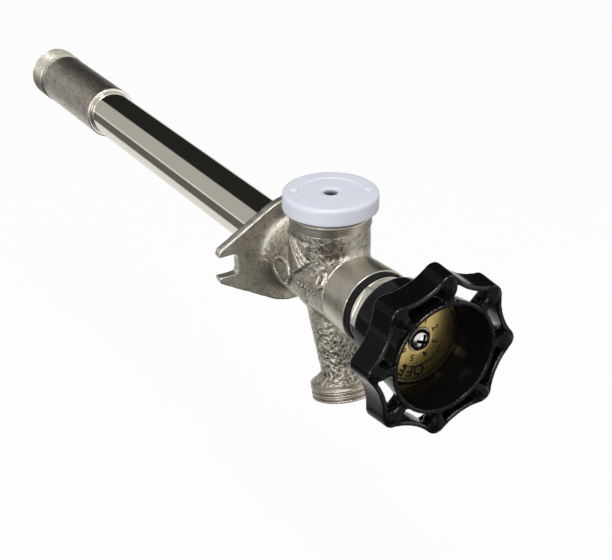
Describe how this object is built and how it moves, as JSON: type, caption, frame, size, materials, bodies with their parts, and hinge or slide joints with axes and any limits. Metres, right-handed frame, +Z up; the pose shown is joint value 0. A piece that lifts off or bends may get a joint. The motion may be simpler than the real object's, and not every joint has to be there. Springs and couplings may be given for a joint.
{
  "type": "frost free sillcock",
  "caption": "Garden tap with a long supply tube, wall flange, top vacuum breaker, angled hose spout and a lobed round handle that draws a seat washer off the far inlet.",
  "frame": {"origin": "centre of the flange's wall face, on the axis of the supply tube", "axes": "+Y along the supply tube into the wall to the inlet, -Y out to the handle, +Z up through the vacuum breaker neck"},
  "size_m": [0.07, 0.3635, 0.089],
  "materials": {
    "cast_nickel": "satin nickel plate over sand cast brass, grainy",
    "tube_nickel": "bright nickel plated copper tube, mirror smooth",
    "turned_nickel": "turned and nickel plated brass, bright",
    "brass": "turned brass",
    "steel": "zinc plated steel",
    "black_rubber": "moulded rubber",
    "packing": "graphite packing",
    "white_plastic": "moulded white plastic, satin",
    "black_gloss": "glossy black enamel on a die cast wheel",
    "label_gold": "thin gold coloured disc, satin"
  },
  "bodies": {
    "tap": {"head_body": "cast_nickel", "supply_tube": "tube_nickel", "inlet_body": "cast_nickel", "bonnet": "turned_nickel", "bonnet_gasket": "black_rubber", "packing_washer": "brass", "packing": "packing", "packing_nut": "brass", "breaker_insert": "white_plastic", "cap_o_ring": "black_rubber", "vent_cap": "white_plastic"},
    "plunger": {"washer_holder": "brass", "seat_washer": "black_rubber", "washer_screw": "brass"},
    "stem": {"spindle": "brass", "stem_rod": "brass", "rod_pin": "steel", "stem_guide": "white_plastic", "handle": "black_gloss", "label_disc": "label_gold", "lock_washer": "steel", "handle_screw": "steel"},
    "float": {"breaker_float": "white_plastic", "float_seal": "black_rubber"}
  },
  "joints": [
    {"name": "valve_travel", "type": "slide", "parent": "tap", "child": "plunger", "axis": [0, -1, 0], "range_m": [0, 0.0067]},
    {"name": "handle_turn", "type": "hinge", "parent": "plunger", "child": "stem", "pos_m": [0, -0.1, 0], "axis": [0, -1, 0], "range_deg": [0, 750]},
    {"name": "float_rise", "type": "slide", "parent": "tap", "child": "float", "axis": [0, 0, 1], "range_m": [0, 0.0025]}
  ],
  "couplings": [
    {"joint": "valve_travel", "follows": "handle_turn", "m_per_rad": 0.00050532}
  ]
}
